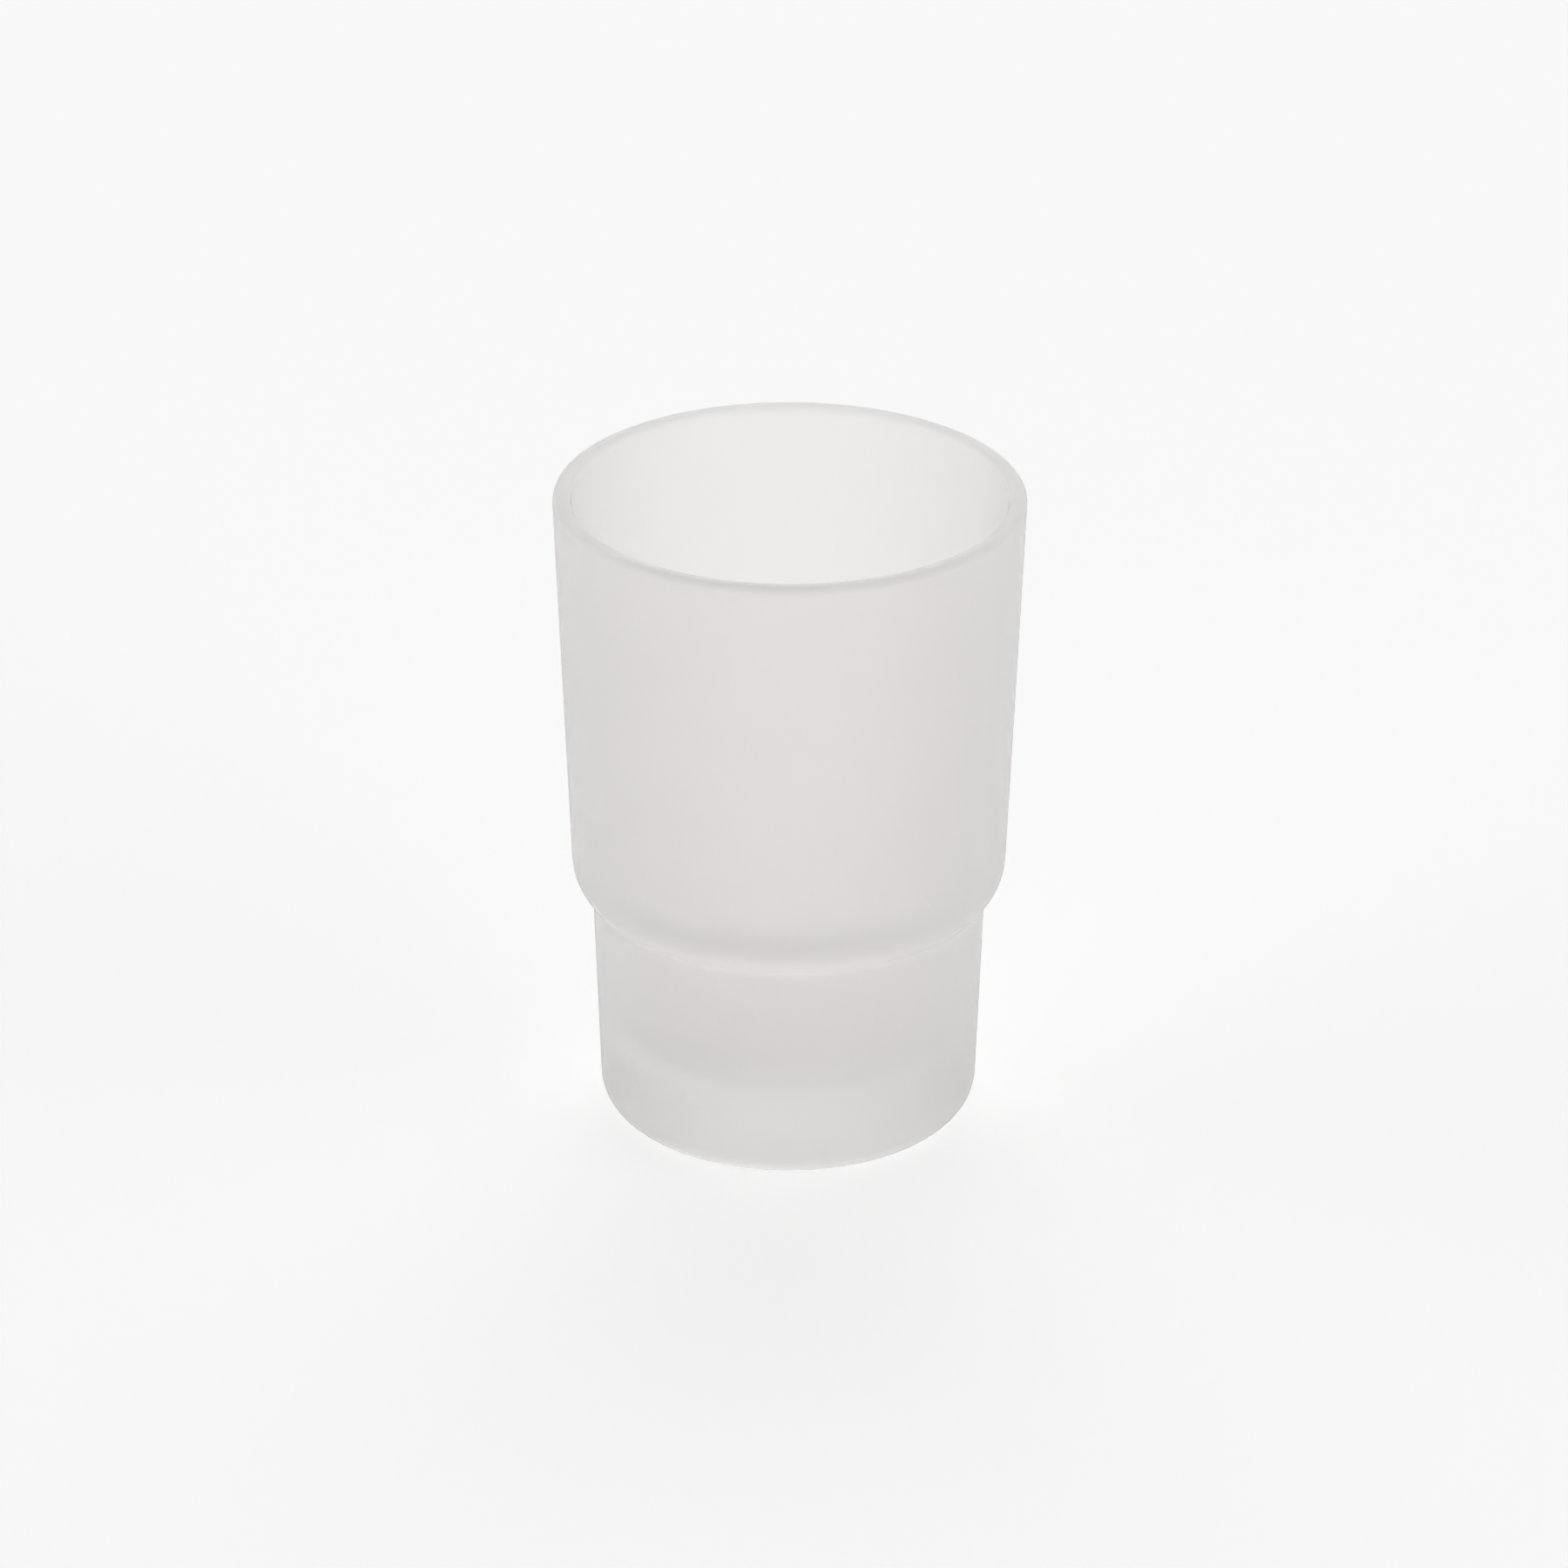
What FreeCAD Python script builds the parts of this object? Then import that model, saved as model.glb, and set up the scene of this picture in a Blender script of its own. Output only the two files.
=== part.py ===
import FreeCAD, Part
import math
import os

# A frosted glass bathroom tumbler: one piece of pressed glass, a solid of revolution about Z.
# The table is z = 0, lengths are in millimetres and angles in degrees.

# Overall size
HEIGHT = 100.0
RIM_DIAMETER = 70.0

# Upper body and its fire-polished rim
UPPER_WALL = 2.7
UPPER_DRAFT = 2.5
RIM_OUTER_ROUND = 1.2
RIM_INNER_ROUND = 1.2

# Step: a round shoulder over a soft crease, which a wall ring can carry
STEP_HEIGHT = 34.1
STEP_INSET = 2.8
SHOULDER_RADIUS = 7.7
CREASE_RADIUS = 3.0

# The inside follows the step in a longer, softer bend, so the glass is thickest at the shoulder
INNER_STEP_RISE = 1.4
INNER_SHOULDER_RADIUS = 8.0
INNER_CREASE_RADIUS = 8.0

# Lower body, heavy floor and foot
LOWER_WALL = 3.0
LOWER_DRAFT = 2.15
FLOOR_HEIGHT = 14.0
INNER_FLOOR_RADIUS = 8.0
FOOT_RADIUS = 5.6
BEARING_WIDTH = 2.5
PUNT_DEPTH = 1.2

# A rim round takes less than half of the wall, so that a flat crown stays between the two.
RIM_ROUND_LIMIT = 0.45 * UPPER_WALL


class WallLine:
    """A straight wall seen in section: it leans outwards by its draft as it climbs."""

    def __init__(self, radius, height, draft):
        """Keep a point of the line and its draft; inside the glass is towards the axis."""
        self.radius = radius
        self.height = height
        self.lean = math.radians(draft)

    def inset(self, depth):
        """The parallel line that lies depth nearer the axis, measured square to the wall."""
        shifted = self.radius - depth / math.cos(self.lean)
        return WallLine(shifted, self.height, math.degrees(self.lean))

    def at(self, height):
        """The point of the line at a height."""
        radius = self.radius + (height - self.height) * math.tan(self.lean)
        return FreeCAD.Vector(radius, 0, height)

    def outward(self):
        """The unit normal that points away from the axis."""
        return FreeCAD.Vector(math.cos(self.lean), 0, -math.sin(self.lean))


def arc_between(centre, start, end):
    """The shorter circular arc about centre from start to end."""
    towards_middle = ((start - centre).normalize() + (end - centre).normalize()).normalize()
    radius = (start - centre).Length
    return Part.Arc(start, centre + towards_middle * radius, end).toShape()


def segment(start, end):
    """A straight edge."""
    return Part.LineSegment(start, end).toShape()


def shoulder_centre(upper, depth, crease_centre, reach):
    """The centre of the shoulder's arc.

    It lies depth inside the upper wall, at the distance reach from the crease's centre, above it.
    """
    track = upper.inset(depth)
    base = track.at(crease_centre.z)
    climb = FreeCAD.Vector(math.sin(track.lean), 0, math.cos(track.lean))
    offset = base - crease_centre
    along = offset.dot(climb)
    rise = math.sqrt(along ** 2 + reach ** 2 - offset.dot(offset)) - along
    return base + climb * rise


def step_edges(upper, lower, shoulder, crease, height):
    """The S-bend from the lower wall, which it leaves at height, up to the upper wall: two tangent arcs.

    Returns the two edges with the points where they leave the lower wall and reach the upper one.
    """
    on_lower = lower.at(height)
    crease_centre = on_lower + lower.outward() * crease
    centre = shoulder_centre(upper, shoulder, crease_centre, shoulder + crease)
    on_upper = centre + upper.outward() * shoulder
    turn = crease_centre + (centre - crease_centre).normalize() * crease
    edges = [arc_between(crease_centre, on_lower, turn), arc_between(centre, turn, on_upper)]
    return edges, on_lower, on_upper


def rim_edges(outer, inner, outer_round, inner_round):
    """The rim: a round on each side of a narrow flat crown.

    Returns the three edges with the points where they leave the outer wall and reach the inner one.
    """
    outer_centre = outer.inset(outer_round).at(HEIGHT - outer_round)
    inner_centre = inner.inset(-inner_round).at(HEIGHT - inner_round)
    up = FreeCAD.Vector(0, 0, 1)
    on_outer = outer_centre + outer.outward() * outer_round
    on_inner = inner_centre - inner.outward() * inner_round
    crown_outer = outer_centre + up * outer_round
    crown_inner = inner_centre + up * inner_round
    edges = [
        arc_between(outer_centre, on_outer, crown_outer),
        segment(crown_outer, crown_inner),
        arc_between(inner_centre, crown_inner, on_inner),
    ]
    return edges, on_outer, on_inner


def foot_edges(outer):
    """The underside from the axis outwards: the shallow punt, the bearing ring and the foot's round.

    Returns the three edges with the point where the foot reaches the outer wall.
    """
    centre = outer.inset(FOOT_RADIUS).at(FOOT_RADIUS)
    ring_outer = FreeCAD.Vector(centre.x, 0, 0)
    ring_inner = FreeCAD.Vector(centre.x - BEARING_WIDTH, 0, 0)
    punt_top = FreeCAD.Vector(0, 0, PUNT_DEPTH)
    punt_radius = (ring_inner.x ** 2 + PUNT_DEPTH ** 2) / (2 * PUNT_DEPTH)
    punt_centre = FreeCAD.Vector(0, 0, PUNT_DEPTH - punt_radius)
    on_outer = centre + outer.outward() * FOOT_RADIUS
    edges = [
        arc_between(punt_centre, punt_top, ring_inner),
        segment(ring_inner, ring_outer),
        arc_between(centre, ring_outer, on_outer),
    ]
    return edges, on_outer


def floor_edges(inner):
    """The inside from the lower wall to the axis: the round corner and the flat floor.

    Returns the two edges with the point where the corner leaves the wall.
    """
    centre = inner.inset(INNER_FLOOR_RADIUS).at(FLOOR_HEIGHT + INNER_FLOOR_RADIUS)
    on_inner = centre + inner.outward() * INNER_FLOOR_RADIUS
    floor_edge = FreeCAD.Vector(centre.x, 0, FLOOR_HEIGHT)
    floor_centre = FreeCAD.Vector(0, 0, FLOOR_HEIGHT)
    edges = [arc_between(centre, on_inner, floor_edge), segment(floor_edge, floor_centre)]
    return edges, on_inner


def tumbler():
    """The glass: its half section, turned once about the axis."""
    outer_round = min(RIM_OUTER_ROUND, RIM_ROUND_LIMIT)
    inner_round = min(RIM_INNER_ROUND, RIM_ROUND_LIMIT)

    # The outer wall leaves the rim's round where that round stops, so the rim keeps its full width.
    rim_centre = FreeCAD.Vector(RIM_DIAMETER / 2 - outer_round, 0, HEIGHT - outer_round)
    lean = math.radians(UPPER_DRAFT)
    wall_top = rim_centre + FreeCAD.Vector(math.cos(lean), 0, -math.sin(lean)) * outer_round
    upper_outer = WallLine(wall_top.x, wall_top.z, UPPER_DRAFT)
    upper_inner = upper_outer.inset(UPPER_WALL)

    neck = upper_outer.at(STEP_HEIGHT).x - STEP_INSET
    lower_outer = WallLine(neck, STEP_HEIGHT, LOWER_DRAFT)
    lower_inner = lower_outer.inset(LOWER_WALL)

    outer_step, neck_low, shoulder_top = step_edges(
        upper_outer, lower_outer, SHOULDER_RADIUS, CREASE_RADIUS, STEP_HEIGHT)
    inner_step, inner_low, inner_top = step_edges(
        upper_inner, lower_inner, INNER_SHOULDER_RADIUS, INNER_CREASE_RADIUS, STEP_HEIGHT + INNER_STEP_RISE)

    underside, foot_top = foot_edges(lower_outer)
    rim, rim_outer, rim_inner = rim_edges(upper_outer, upper_inner, outer_round, inner_round)
    floor, corner_top = floor_edges(lower_inner)
    floor_centre = FreeCAD.Vector(0, 0, FLOOR_HEIGHT)
    punt_top = FreeCAD.Vector(0, 0, PUNT_DEPTH)

    outer_face = underside + [segment(foot_top, neck_low)] + outer_step + [segment(shoulder_top, rim_outer)]
    inner_face = [segment(rim_inner, inner_top)] + inner_step + [segment(inner_low, corner_top)] + floor
    section = outer_face + rim + inner_face + [segment(floor_centre, punt_top)]
    half = Part.Face(Part.Wire(Part.__sortEdges__(section)))
    return half.revolve(FreeCAD.Vector(0, 0, 0), FreeCAD.Vector(0, 0, 1), 360)


os.makedirs("parts", exist_ok=True)

glass = tumbler()
glass.exportStep("parts/tumbler.step")
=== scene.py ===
"""The looks of a frosted glass bathroom tumbler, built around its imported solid.

The tumbler is one surface of revolution about +Z, in metres, standing on z = 0.
"""

import logging
import math
from dataclasses import dataclass
from enum import Enum
from typing import List, Tuple, Union

import bpy
import numpy as np
from mathutils import Matrix, Vector

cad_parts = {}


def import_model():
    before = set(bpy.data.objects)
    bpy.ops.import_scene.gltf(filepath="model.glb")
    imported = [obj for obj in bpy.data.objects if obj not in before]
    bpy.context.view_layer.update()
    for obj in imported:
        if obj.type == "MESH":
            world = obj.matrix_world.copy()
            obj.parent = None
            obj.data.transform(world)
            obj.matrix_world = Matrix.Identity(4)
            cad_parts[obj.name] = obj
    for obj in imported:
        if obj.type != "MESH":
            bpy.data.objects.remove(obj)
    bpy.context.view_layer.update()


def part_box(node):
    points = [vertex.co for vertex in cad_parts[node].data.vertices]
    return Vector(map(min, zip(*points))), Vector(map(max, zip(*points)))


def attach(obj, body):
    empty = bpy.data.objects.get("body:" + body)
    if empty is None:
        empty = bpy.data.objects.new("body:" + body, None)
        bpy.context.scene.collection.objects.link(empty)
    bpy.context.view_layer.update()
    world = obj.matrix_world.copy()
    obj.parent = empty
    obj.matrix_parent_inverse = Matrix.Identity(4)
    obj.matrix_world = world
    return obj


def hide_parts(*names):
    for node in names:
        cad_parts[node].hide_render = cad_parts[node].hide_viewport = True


Colour = Tuple[float, float, float, float]

MM = 0.001
# name of the mask of rubbing, which also places painted shade on the rim
WEAR_AND_SHADE_ATTRIBUTE = "wear_and_shade_mask"
WHITE: Colour = (1.0, 1.0, 1.0, 1.0)
BLACK: Colour = (0.0, 0.0, 0.0, 1.0)
LEAST_RUN_SAMPLES = 2
LEAST_ARC_SAMPLES = 3
LOG = logging.getLogger("tumbler")


class Bend(Enum):
    """Which way an arc of the section runs about its centre."""

    LEFT = 1
    RIGHT = -1


@dataclass(frozen=True)
class WallLine:
    """A straight wall in section: it leans outwards by its draft as it climbs.

    Attributes:
        radius: distance from the axis of one point of the line, in metres.
        height: height of that point, in metres.
        lean: draft from the vertical, in radians.
    """

    radius: float
    height: float
    lean: float

    def inset(self, depth: float) -> "WallLine":
        """Returns the parallel line depth nearer the axis, measured square to the wall."""
        return WallLine(self.radius - depth / math.cos(self.lean), self.height, self.lean)

    def at(self, height: float) -> np.ndarray:
        """Returns the (radius, height) point of the line at a height."""
        return np.array([self.radius + (height - self.height) * math.tan(self.lean), height])

    @property
    def outward(self) -> np.ndarray:
        """The unit normal that points away from the axis."""
        return np.array([math.cos(self.lean), -math.sin(self.lean)])


def run(start: np.ndarray, end: np.ndarray, step: float) -> np.ndarray:
    """Samples a straight run of the section: start + t (end - start), with t even from 0 to 1.

    Args:
        start: first (radius, height) point.
        end: last point, left out because the next piece of the section starts there.
        step: greatest distance between samples.

    Returns:
        The points as an (n, 2) array.
    """
    count = max(LEAST_RUN_SAMPLES, math.ceil(np.linalg.norm(end - start) / step))
    share = np.linspace(0.0, 1.0, count, endpoint=False)[:, None]
    return start + share * (end - start)


def arc(centre: np.ndarray, start: np.ndarray, end: np.ndarray, bend: Bend, step: float) -> np.ndarray:
    """Samples a circular arc: centre + radius (cos a, sin a), with the angle a even from start to end.

    Args:
        centre: the circle's centre.
        start: first point.
        end: last point, left out because the next piece of the section starts there.
        bend: the way round.
        step: greatest turn between samples, in radians.

    Returns:
        The points as an (n, 2) array.
    """
    first = math.atan2(*(start - centre)[::-1])
    turn = math.atan2(*(end - centre)[::-1]) - first
    turn = bend.value * ((bend.value * turn) % math.tau)
    count = max(LEAST_ARC_SAMPLES, math.ceil(abs(turn) / step))
    angle = first + np.linspace(0.0, turn, count, endpoint=False)
    radius = np.linalg.norm(start - centre)
    return centre + radius * np.column_stack([np.cos(angle), np.sin(angle)])


@dataclass
class Tumbler:
    """The glass: sizes of its section, and the mesh turned from it. Lengths are in metres, angles in radians.

    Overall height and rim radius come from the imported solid's box; the rest are the maker's sizes.

    Attributes:
        height: from the table to the rim's crown.
        rim_radius: outside, at the rim.
        upper_wall: thickness of the upper wall.
        upper_draft: of the upper wall.
        rim_outer_round: radius of the rim's outer edge.
        rim_inner_round: radius of the rim's inner edge.
        step_height: where the step leaves the lower wall, outside.
        step_inset: from the line of the upper wall in to the lower wall, at that height.
        shoulder_radius: of the step's upper bend, outside.
        crease_radius: of the step's lower bend, outside.
        inner_step_rise: how much higher the step leaves the lower wall inside.
        inner_shoulder_radius: of the step's upper bend, inside.
        inner_crease_radius: of the step's lower bend, inside.
        lower_wall: thickness of the lower wall.
        lower_draft: of the lower wall.
        floor_height: of the floor's upper face.
        inner_floor_radius: of the corner between the lower wall and the floor.
        foot_radius: of the round under the lower wall.
        bearing_width: of the flat ring that the tumbler stands on.
        punt_depth: of the hollow inside that ring.
        crown_reach: how far wear reaches down from the rim's crown.
        ring_reach: how far wear reaches up from the table.
        run_step: greatest distance between samples of a straight run.
        arc_step: greatest turn between samples of an arc.
        punt_samples: number of samples across the punt.
        segments: number of samples round the axis.
    """

    height: float
    rim_radius: float
    upper_wall: float = 2.7 * MM
    upper_draft: float = math.radians(2.5)
    rim_outer_round: float = 1.2 * MM
    rim_inner_round: float = 1.2 * MM
    step_height: float = 34.1 * MM
    step_inset: float = 2.8 * MM
    shoulder_radius: float = 7.7 * MM
    crease_radius: float = 3.0 * MM
    inner_step_rise: float = 1.4 * MM
    inner_shoulder_radius: float = 8.0 * MM
    inner_crease_radius: float = 8.0 * MM
    lower_wall: float = 3.0 * MM
    lower_draft: float = math.radians(2.15)
    floor_height: float = 14.0 * MM
    inner_floor_radius: float = 8.0 * MM
    foot_radius: float = 5.6 * MM
    bearing_width: float = 2.5 * MM
    punt_depth: float = 1.2 * MM
    # crown_reach: how far the rubbing, and the painted shade laid with it, reaches down from the rim's crown.
    crown_reach: float = 1.0 * MM
    # ring_reach: how far the rubbing, and the painted shade laid with it, reaches up from the table.
    ring_reach: float = 0.3 * MM
    run_step: float = 1.6 * MM
    arc_step: float = math.radians(5.0)
    punt_samples: int = 14
    segments: int = 360

    def upper_line(self) -> WallLine:
        """Works out the upper wall, which leaves the rim's round where that round stops.

        Returns:
            The line of its outside.
        """
        centre = np.array([self.rim_radius, self.height]) - self.rim_outer_round
        normal = np.array([math.cos(self.upper_draft), -math.sin(self.upper_draft)])
        top = centre + normal * self.rim_outer_round
        return WallLine(top[0], top[1], self.upper_draft)

    def lower_line(self) -> WallLine:
        """Returns the outside of the lower wall, set in from the upper wall's line at the step."""
        neck = self.upper_line().at(self.step_height)[0] - self.step_inset
        return WallLine(neck, self.step_height, self.lower_draft)

    def foot(self) -> Tuple[np.ndarray, np.ndarray]:
        """Works out the foot's round, which touches the table and the lower wall.

        Returns:
            Its centre and the point where it meets the wall.
        """
        wall = self.lower_line()
        centre = wall.inset(self.foot_radius).at(self.foot_radius)
        return centre, centre + wall.outward * self.foot_radius

    def underside(self) -> List[np.ndarray]:
        """Samples the punt, the bearing ring and the foot's round, from the axis outwards.

        The punt is a shallow cap of a sphere, whose radius is (a^2 + d^2) / 2d for a cap that is 2a across
        and d deep.

        Returns:
            The points of the three pieces.
        """
        centre, on_wall = self.foot()
        ring_outer = np.array([centre[0], 0.0])
        ring_inner = np.array([centre[0] - self.bearing_width, 0.0])
        cap = (ring_inner[0] ** 2 + self.punt_depth ** 2) / (2 * self.punt_depth)
        radius = np.linspace(0.0, 1.0, self.punt_samples, endpoint=False) * ring_inner[0]
        punt = np.column_stack([radius, self.punt_depth - cap + np.sqrt(cap ** 2 - radius ** 2)])
        return [
            punt,
            run(ring_inner, ring_outer, self.run_step),
            arc(centre, ring_outer, on_wall, Bend.LEFT, self.arc_step),
        ]

    def step(self, upper: WallLine, lower: WallLine, shoulder: float, crease: float,
             height: float) -> Tuple[np.ndarray, ...]:
        """Works out an S-bend of the step, as the points and centres of two tangent arcs.

        The crease's centre lies outside the lower wall. The shoulder's centre lies inside the upper wall, at
        the sum of the two radii from the crease's centre, so that the arcs share a tangent where they meet.

        Args:
            upper: the wall above the bend.
            lower: the wall below it.
            shoulder: radius of the upper arc.
            crease: radius of the lower arc.
            height: where the bend leaves the lower wall.

        Returns:
            The point on the lower wall, the crease's centre, the point where the arcs meet, the shoulder's
            centre and the point on the upper wall.
        """
        on_lower = lower.at(height)
        crease_centre = on_lower + lower.outward * crease
        track = upper.inset(shoulder)
        base = track.at(crease_centre[1])
        climb = np.array([math.sin(track.lean), math.cos(track.lean)])
        offset = base - crease_centre
        along = float(offset @ climb)
        reach = shoulder + crease
        rise = math.sqrt(along ** 2 + reach ** 2 - float(offset @ offset)) - along
        centre = base + climb * rise
        meet = crease_centre + (centre - crease_centre) * (crease / reach)
        on_upper = centre + upper.outward * shoulder
        return on_lower, crease_centre, meet, centre, on_upper

    def section(self) -> np.ndarray:
        """Samples the half section.

        Returns:
            One open line of (radius, height) points: from the punt's centre up the outside, over the rim and
            down the inside to the floor's centre.
        """
        upper, lower = self.upper_line(), self.lower_line()
        upper_in, lower_in = upper.inset(self.upper_wall), lower.inset(self.lower_wall)
        neck, crease_at, meet, shoulder_at, shoulder_top = self.step(
            upper, lower, self.shoulder_radius, self.crease_radius, self.step_height)
        in_neck, in_crease_at, in_meet, in_shoulder_at, in_top = self.step(
            upper_in, lower_in, self.inner_shoulder_radius, self.inner_crease_radius,
            self.step_height + self.inner_step_rise)

        rim_out = upper.inset(self.rim_outer_round).at(self.height - self.rim_outer_round)
        rim_in = upper_in.inset(-self.rim_inner_round).at(self.height - self.rim_inner_round)
        rim_out_low = rim_out + upper.outward * self.rim_outer_round
        rim_in_low = rim_in - upper_in.outward * self.rim_inner_round
        crown_out = np.array([rim_out[0], self.height])
        crown_in = np.array([rim_in[0], self.height])

        corner = lower_in.inset(self.inner_floor_radius).at(self.floor_height + self.inner_floor_radius)
        corner_top = corner + lower_in.outward * self.inner_floor_radius
        floor_edge = np.array([corner[0], self.floor_height])
        floor_centre = np.array([0.0, self.floor_height])

        foot_top = self.foot()[1]
        pieces = self.underside() + [
            run(foot_top, neck, self.run_step),
            arc(crease_at, neck, meet, Bend.RIGHT, self.arc_step),
            arc(shoulder_at, meet, shoulder_top, Bend.LEFT, self.arc_step),
            run(shoulder_top, rim_out_low, self.run_step),
            arc(rim_out, rim_out_low, crown_out, Bend.LEFT, self.arc_step),
            run(crown_out, crown_in, self.run_step),
            arc(rim_in, crown_in, rim_in_low, Bend.LEFT, self.arc_step),
            run(rim_in_low, in_top, self.run_step),
            arc(in_shoulder_at, in_top, in_meet, Bend.RIGHT, self.arc_step),
            arc(in_crease_at, in_meet, in_neck, Bend.LEFT, self.arc_step),
            run(in_neck, corner_top, self.run_step),
            arc(corner, corner_top, floor_edge, Bend.RIGHT, self.arc_step),
            run(floor_edge, floor_centre, self.run_step),
            floor_centre[None, :],
        ]
        return np.concatenate(pieces)

    def wear_and_shade_mask(self, points: np.ndarray) -> np.ndarray:
        """Works out how far use has rubbed each point smooth, from 0 to 1; the colour also takes its painted
        shade from these values.

        Hands and lips rub the rim's crown smooth, and shelves rub the bearing ring: each rubbing is
        exp(-(d / reach)^2), with d the height below the crown or above the table.

        Args:
            points: the mesh's points, as an (n, 3) array.

        Returns:
            One value for each point.
        """
        above_table = points[:, 2]
        below_crown = self.height - above_table
        crown_wear = np.exp(-(below_crown / self.crown_reach) ** 2)
        ring_wear = np.exp(-(above_table / self.ring_reach) ** 2)
        return np.maximum(crown_wear, ring_wear)

    def build(self) -> bpy.types.Object:
        """Turns the section about the axis.

        A point (r, z) of the section becomes (r cos a, r sin a, z) at each angle a; the two ends lie on the
        axis, so each is one vertex with a fan of triangles.

        Returns:
            The mesh object, with its rubbing, which also places painted shade, as an attribute.
        """
        section = self.section()
        body = section[1:-1]
        angle = np.linspace(0.0, math.tau, self.segments, endpoint=False)
        radius = body[:, 0][:, None]
        grid = np.stack([
            radius * np.cos(angle),
            radius * np.sin(angle),
            np.broadcast_to(body[:, 1][:, None], (len(body), self.segments)),
        ], axis=-1)
        ends = np.array([[0.0, 0.0, section[0, 1]], [0.0, 0.0, section[-1, 1]]])
        points = np.concatenate([grid.reshape(-1, 3), ends])

        here = np.arange(self.segments)
        after = (here + 1) % self.segments
        row = np.arange(len(body) - 1)[:, None] * self.segments
        above = row + self.segments
        quads = np.stack([row + here, row + after, above + after, above + here], axis=-1).reshape(-1, 4)
        last = (len(body) - 1) * self.segments
        low_pole = np.full(self.segments, len(points) - 2)
        high_pole = np.full(self.segments, len(points) - 1)
        fans = np.concatenate([
            np.column_stack([low_pole, after, here]),
            np.column_stack([high_pole, last + here, last + after]),
        ])
        mesh = bpy.data.meshes.new("frosted_tumbler")
        mesh.from_pydata(points.tolist(), [], quads.tolist() + fans.tolist())
        mesh.shade_smooth()
        mesh.update()
        # the mask of rubbing, which the material also uses to place painted shade on the rim
        wear_and_shade_mask = mesh.attributes.new(WEAR_AND_SHADE_ATTRIBUTE, "FLOAT", "POINT")
        wear_and_shade_mask.data.foreach_set("value", self.wear_and_shade_mask(points).astype(np.float32))
        piece = bpy.data.objects.new("frosted_tumbler", mesh)
        bpy.context.scene.collection.objects.link(piece)
        return piece


def typed_socket(sockets: bpy.types.bpy_prop_collection, name: str, kind: str) -> bpy.types.NodeSocket:
    """Returns the socket of that name and type, as a Mix node has one of each name for every type."""
    return next(socket for socket in sockets if socket.name == name and socket.type == kind)


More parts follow.
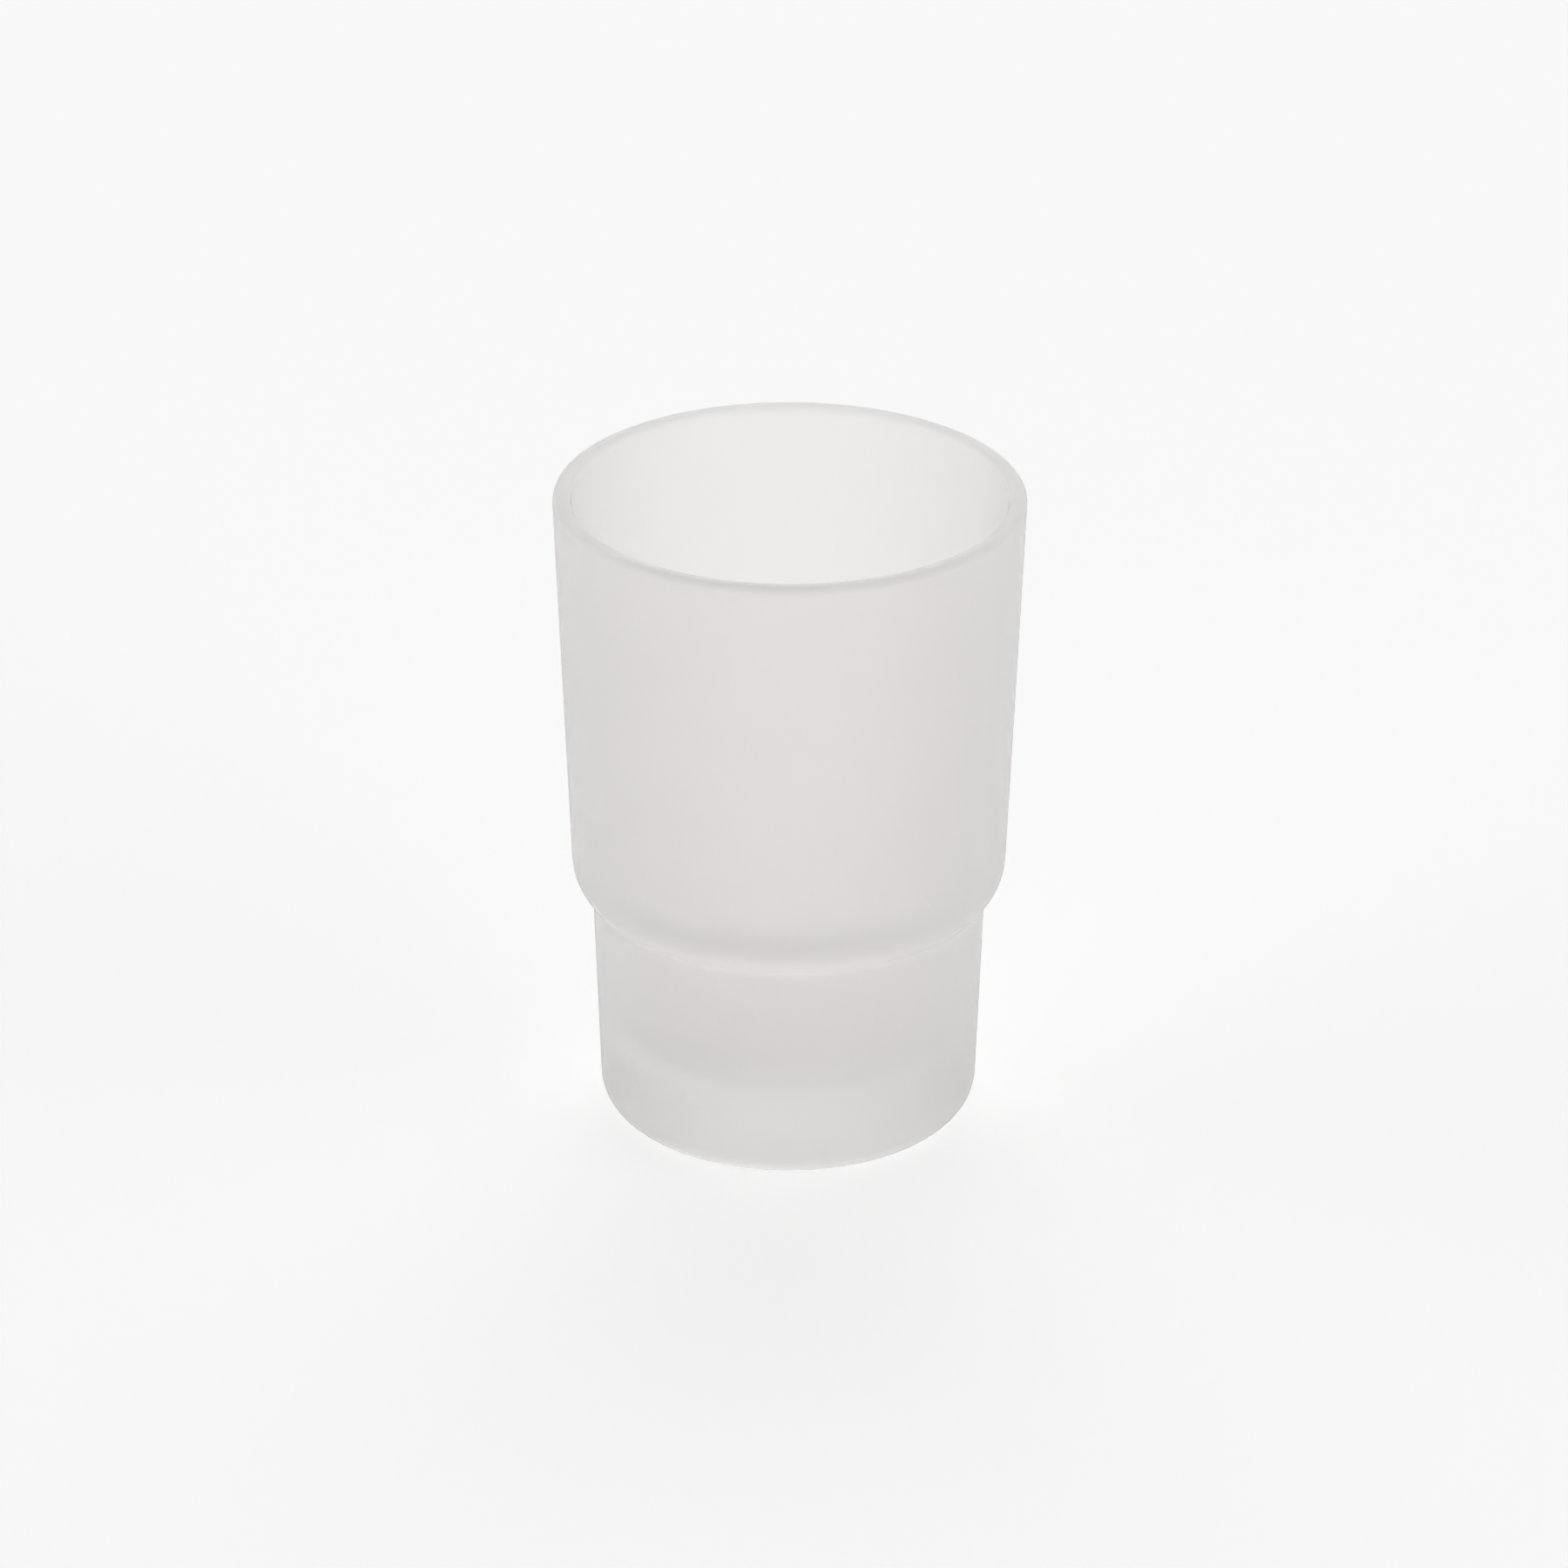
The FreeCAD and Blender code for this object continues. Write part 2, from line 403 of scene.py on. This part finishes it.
@dataclass(frozen=True)
class FrostedGlass:
    """The finish: pressed glass etched to an even satin on both faces, with small marks of making and use,
    and painted shade on the rubbed rim.

    Attributes:
        tint: colour of the etched glass, a little warm.
        roughness: of the etched faces.
        refraction: index of the glass.
        soak: how fast the glass takes up light: a path of d metres keeps exp(-soak d) of it.
        grain_size: width of the etching's pits, in metres.
        grain_depth: depth of the pits, in metres.
        grain_detail: octaves of finer noise in the pits.
        cloud_size: width of the faint clouds where the acid bit deeper, in metres.
        cloud_spread: how far a cloud changes the roughness either way.
        cloud_detail: octaves of finer noise in the clouds.
        cloud_range: values of the noise that count as the smoothest and the roughest.
        polished: how far a rubbed edge loses roughness.
        rim_painted_shade: share of the tint that a rubbed edge keeps: painted shade, standing for the depth
            of the wall that the eye looks down there.
        speck_spacing: mean distance between specks in the glass, in metres.
        speck_radius: of one speck, in metres.
        speck_core: share of that radius at which a speck starts to fade.
        speck_tone: share of the tint that a speck keeps.
    """

    tint: Tuple[float, float, float] = (0.941, 0.927, 0.923)
    roughness: float = 0.58
    refraction: float = 1.5
    soak: float = 1.2
    grain_size: float = 0.22 * MM
    grain_depth: float = 0.012 * MM
    grain_detail: float = 2.0
    cloud_size: float = 9.0 * MM
    cloud_spread: float = 0.03
    cloud_detail: float = 3.0
    cloud_range: Tuple[float, float] = (0.3, 0.7)
    polished: float = 0.14
    # painted shade on the rubbed rim, as a share of the tint
    rim_painted_shade: float = 0.965
    speck_spacing: float = 11.0 * MM
    speck_radius: float = 0.2 * MM
    speck_core: float = 0.5
    speck_tone: float = 0.8

    def material(self) -> bpy.types.Material:
        """Builds the glass, whose body takes up a little light.

        Returns:
            The material.
        """
        made = bpy.data.materials.new("etched_glass")
        made.use_nodes = True
        tree = made.node_tree
        shader = tree.nodes["Principled BSDF"]
        shader.inputs["IOR"].default_value = self.refraction
        shader.inputs["Transmission Weight"].default_value = 1.0
        place = tree.nodes.new("ShaderNodeTexCoord").outputs["Object"]
        # one mask: where use has rubbed the glass smooth, which lowers the roughness and also places painted
        # shade in the colour
        wear_and_shade_node = tree.nodes.new("ShaderNodeAttribute")
        wear_and_shade_node.attribute_name = WEAR_AND_SHADE_ATTRIBUTE
        wear_and_shade = wear_and_shade_node.outputs["Fac"]
        tree.links.new(self.colour(tree, place, wear_and_shade), shader.inputs["Base Color"])
        tree.links.new(self.sheen(tree, place, wear_and_shade), shader.inputs["Roughness"])
        tree.links.new(self.pits(tree, place), shader.inputs["Normal"])
        body = tree.nodes.new("ShaderNodeVolumeAbsorption")
        body.inputs["Color"].default_value = BLACK
        body.inputs["Density"].default_value = self.soak
        tree.links.new(body.outputs["Volume"], tree.nodes["Material Output"].inputs["Volume"])
        return made

    def noise(self, tree: bpy.types.NodeTree, place: bpy.types.NodeSocket, size: float,
              detail: float) -> bpy.types.NodeSocket:
        """Adds cloud noise.

        Args:
            tree: the material's nodes.
            place: the position on the object.
            size: width of its features, in metres.
            detail: octaves of finer noise.

        Returns:
            Its value, which lies around 0.5.
        """
        cloud = tree.nodes.new("ShaderNodeTexNoise")
        cloud.inputs["Scale"].default_value = 1.0 / size
        cloud.inputs["Detail"].default_value = detail
        tree.links.new(place, cloud.inputs["Vector"])
        return cloud.outputs["Fac"]

    def colour(self, tree: bpy.types.NodeTree, place: bpy.types.NodeSocket,
               wear_and_shade: bpy.types.NodeSocket) -> bpy.types.NodeSocket:
        """Adds the colour: the tint, with painted shade on the rubbed crown and bearing ring, and darker in
        rare specks, small balls set at random.

        Args:
            tree: the material's nodes.
            place: the position on the object.
            wear_and_shade: how far use has rubbed the surface, from 0 to 1, which also says where the painted
                shade goes.

        Returns:
            The colour.
        """
        specks = tree.nodes.new("ShaderNodeTexVoronoi")
        specks.inputs["Scale"].default_value = 1.0 / self.speck_spacing
        tree.links.new(place, specks.inputs["Vector"])
        reach = self.speck_radius / self.speck_spacing
        clear = tree.nodes.new("ShaderNodeMapRange")
        clear.inputs["From Min"].default_value = self.speck_core * reach
        clear.inputs["From Max"].default_value = reach
        tree.links.new(specks.outputs["Distance"], clear.inputs["Value"])
        # painted shade: the rubbed crown and bearing ring get a darker share of the tint, standing for the
        # depth of wall seen there
        glass = self.blend(tree, wear_and_shade, self.shade(1.0), self.shade(self.rim_painted_shade))
        return self.blend(tree, clear.outputs["Result"], self.shade(self.speck_tone), glass)

    def shade(self, share: float) -> Colour:
        """Returns a share of the tint, as a colour."""
        red, green, blue = self.tint
        return share * red, share * green, share * blue, 1.0

    def blend(self, tree: bpy.types.NodeTree, factor: bpy.types.NodeSocket, low: Colour,
              high: Union[Colour, bpy.types.NodeSocket]) -> bpy.types.NodeSocket:
        """Adds a mix of two colours.

        Args:
            tree: the material's nodes.
            factor: 0 for the low colour and 1 for the high one.
            low: a plain colour.
            high: a plain colour, or the socket that gives one.

        Returns:
            The mixed colour.
        """
        mix = tree.nodes.new("ShaderNodeMix")
        mix.data_type = "RGBA"
        typed_socket(mix.inputs, "A", "RGBA").default_value = low
        top = typed_socket(mix.inputs, "B", "RGBA")
        if isinstance(high, bpy.types.NodeSocket):
            tree.links.new(high, top)
        else:
            top.default_value = high
        tree.links.new(factor, typed_socket(mix.inputs, "Factor", "VALUE"))
        return typed_socket(mix.outputs, "Result", "RGBA")

    def sheen(self, tree: bpy.types.NodeTree, place: bpy.types.NodeSocket,
              wear_and_shade: bpy.types.NodeSocket) -> bpy.types.NodeSocket:
        """Adds the roughness: its clouds, less what rubbing has polished off the crown and the bearing ring.

        Args:
            tree: the material's nodes.
            place: the position on the object.
            wear_and_shade: how far use has rubbed the surface, from 0 to 1; here only the rubbing counts.

        Returns:
            The roughness.
        """
        smoothest, roughest = self.cloud_range
        clouds = tree.nodes.new("ShaderNodeMapRange")
        clouds.inputs["From Min"].default_value = smoothest
        clouds.inputs["From Max"].default_value = roughest
        clouds.inputs["To Min"].default_value = self.roughness - self.cloud_spread
        clouds.inputs["To Max"].default_value = self.roughness + self.cloud_spread
        tree.links.new(self.noise(tree, place, self.cloud_size, self.cloud_detail), clouds.inputs["Value"])
        rubbed = tree.nodes.new("ShaderNodeMath")
        rubbed.operation = "MULTIPLY_ADD"
        rubbed.inputs[1].default_value = -self.polished
        tree.links.new(wear_and_shade, rubbed.inputs[0])
        tree.links.new(clouds.outputs["Result"], rubbed.inputs[2])
        return rubbed.outputs["Value"]

    def pits(self, tree: bpy.types.NodeTree, place: bpy.types.NodeSocket) -> bpy.types.NodeSocket:
        """Adds the etching's fine pits as a bump.

        Args:
            tree: the material's nodes.
            place: the position on the object.

        Returns:
            The normal.
        """
        bump = tree.nodes.new("ShaderNodeBump")
        bump.inputs["Strength"].default_value = 1.0
        bump.inputs["Distance"].default_value = self.grain_depth
        tree.links.new(self.noise(tree, place, self.grain_size, self.grain_detail), bump.inputs["Height"])
        return bump.outputs["Normal"]


@dataclass(frozen=True)
class PhotoCamera:
    """The photograph's viewpoint: a long lens, a little above the rim.

    Attributes:
        elevation: of the viewpoint above the horizon, in radians.
        distance: from the point aimed at, in metres.
        lens: focal length, in millimetres.
        sensor: width of the sensor, in millimetres.
        near: nearest distance drawn, in metres.
        far: farthest distance drawn, in metres.
        aim_height: of the point aimed at, on the tumbler's axis, in metres.
        aside: shift of the camera towards the picture's right, in metres.
        above: shift of the camera towards the picture's top, in metres.
        roll: turn about the line of sight, in radians.
    """

    elevation: float = math.radians(25.209)
    distance: float = 1.4
    lens: float = 215.15
    sensor: float = 36.0
    near: float = 0.05
    far: float = 100.0
    aim_height: float = 51.8 * MM
    aside: float = -0.756 * MM
    above: float = 0.650 * MM
    roll: float = 0.00259

    def place(self) -> None:
        """Creates the camera, aims it and makes it the scene's camera."""
        data = bpy.data.cameras.new("photo_camera")
        data.lens = self.lens
        data.sensor_width = self.sensor
        data.clip_start = self.near
        data.clip_end = self.far
        camera = bpy.data.objects.new("photo_camera", data)
        bpy.context.scene.collection.objects.link(camera)
        tilt = Matrix.Rotation(math.pi / 2 - self.elevation, 3, "X")
        turn = tilt @ Matrix.Rotation(self.roll, 3, "Z")
        back = tilt @ Vector((0.0, 0.0, 1.0))
        offset = tilt @ Vector((self.aside, self.above, 0.0))
        spot = Vector((0.0, 0.0, self.aim_height)) + back * self.distance + offset
        camera.matrix_world = Matrix.Translation(spot) @ turn.to_4x4()
        bpy.context.scene.camera = camera


@dataclass(frozen=True)
class Softbox:
    """A soft patch of light in the sky.

    Attributes:
        azimuth: where it stands, in degrees from +X towards +Y.
        elevation: its height above the horizon, in degrees.
        spread: angle from its middle to its edge, in degrees.
        level: radiance that its middle adds to the room's even light.
    """

    azimuth: float
    elevation: float
    spread: float
    level: float

    @property
    def axis(self) -> Tuple[float, float, float]:
        """The unit vector to its middle."""
        azimuth = math.radians(self.azimuth)
        elevation = math.radians(self.elevation)
        flat = math.cos(elevation)
        return flat * math.cos(azimuth), flat * math.sin(azimuth), math.sin(elevation)

    def glow(self, tree: bpy.types.NodeTree, aim: bpy.types.NodeSocket) -> bpy.types.NodeSocket:
        """Adds its nodes: a smooth step of the cosine to its axis, 0 at its edge and its level in its middle.

        Args:
            tree: the world's nodes.
            aim: the direction that is looked at.

        Returns:
            The radiance that it adds.
        """
        cosine = tree.nodes.new("ShaderNodeVectorMath")
        cosine.operation = "DOT_PRODUCT"
        cosine.inputs[1].default_value = self.axis
        tree.links.new(aim, cosine.inputs[0])
        fade = tree.nodes.new("ShaderNodeMapRange")
        fade.interpolation_type = "SMOOTHSTEP"
        fade.inputs["From Min"].default_value = math.cos(math.radians(self.spread))
        fade.inputs["From Max"].default_value = 1.0
        fade.inputs["To Max"].default_value = self.level
        tree.links.new(cosine.outputs["Value"], fade.inputs["Value"])
        return fade.outputs["Result"]


@dataclass(frozen=True)
class Studio:
    """A lit white table in a pale room, with soft light from behind and from the sides.

    Attributes:
        floor_size: width of the floor, in metres.
        floor_drop: how far the floor lies below the ring that the tumbler stands on, in metres.
        floor_tone: share of the light that the white card throws back.
        floor_glow: radiance that comes up through the card from the lit table.
        room: the room's even radiance.
        softboxes: what adds to it.
        bounces: how often light may turn on its way, also inside glass.
        glossy_bounces: how many of those turns may be reflections.
    """

    floor_size: float = 40.0
    floor_drop: float = 0.1 * MM
    floor_tone: float = 0.9
    floor_glow: float = 0.52
    room: float = 0.11
    softboxes: Tuple[Softbox, ...] = (
        Softbox(azimuth=90.0, elevation=45.0, spread=35.0, level=0.75),
        Softbox(azimuth=90.0, elevation=5.0, spread=50.0, level=0.88),
        Softbox(azimuth=135.0, elevation=5.0, spread=50.0, level=0.4),
        Softbox(azimuth=180.0, elevation=5.0, spread=50.0, level=1.17),
        Softbox(azimuth=45.0, elevation=5.0, spread=50.0, level=0.6),
        Softbox(azimuth=-20.0, elevation=5.0, spread=50.0, level=1.22),
    )
    bounces: int = 32
    glossy_bounces: int = 16

    def lay_floor(self) -> None:
        """Lays the pale floor: white card over a lit table."""
        half = self.floor_size / 2
        level = -self.floor_drop
        corners = [(-half, -half, level), (half, -half, level), (half, half, level), (-half, half, level)]
        mesh = bpy.data.meshes.new("floor")
        mesh.from_pydata(corners, [], [(0, 1, 2, 3)])
        floor = bpy.data.objects.new("floor", mesh)
        bpy.context.scene.collection.objects.link(floor)
        made = bpy.data.materials.new("white_card")
        made.use_nodes = True
        shader = made.node_tree.nodes["Principled BSDF"]
        shader.inputs["Base Color"].default_value = (self.floor_tone,) * 3 + (1.0,)
        shader.inputs["Roughness"].default_value = 1.0
        shader.inputs["Specular IOR Level"].default_value = 0.0
        shader.inputs["Emission Color"].default_value = WHITE
        shader.inputs["Emission Strength"].default_value = self.floor_glow
        mesh.materials.append(made)

    def light(self) -> None:
        """Lights the set: an even room, to which each softbox adds its glow."""
        scene = bpy.context.scene
        world = bpy.data.worlds.new("soft_room")
        scene.world = world
        world.use_nodes = True
        tree = world.node_tree
        aim = tree.nodes.new("ShaderNodeTexCoord").outputs["Generated"]
        total = None
        for box in self.softboxes:
            more = tree.nodes.new("ShaderNodeMath")
            more.inputs[1].default_value = self.room
            tree.links.new(box.glow(tree, aim), more.inputs[0])
            if total is not None:
                tree.links.new(total, more.inputs[1])
            total = more.outputs["Value"]
        sky = tree.nodes["Background"]
        sky.inputs["Color"].default_value = WHITE
        tree.links.new(total, sky.inputs["Strength"])
        scene.view_settings.view_transform = "Standard"
        scene.cycles.max_bounces = self.bounces
        scene.cycles.transmission_bounces = self.bounces
        scene.cycles.glossy_bounces = self.glossy_bounces


def main() -> None:
    """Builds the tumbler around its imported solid, then the set and the camera."""
    logging.basicConfig(level=logging.INFO, format="%(name)s: %(message)s")
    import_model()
    low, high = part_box("tumbler")
    tumbler = Tumbler(height=high.z - low.z, rim_radius=(high.x - low.x) / 2)
    piece = tumbler.build()
    piece.data.materials.append(FrostedGlass().material())
    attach(piece, "root")
    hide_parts("tumbler")
    LOG.info("%s: %d faces", piece.name, len(piece.data.polygons))
    studio = Studio()
    studio.lay_floor()
    studio.light()
    PhotoCamera().place()


if __name__ == "__main__":
    main()
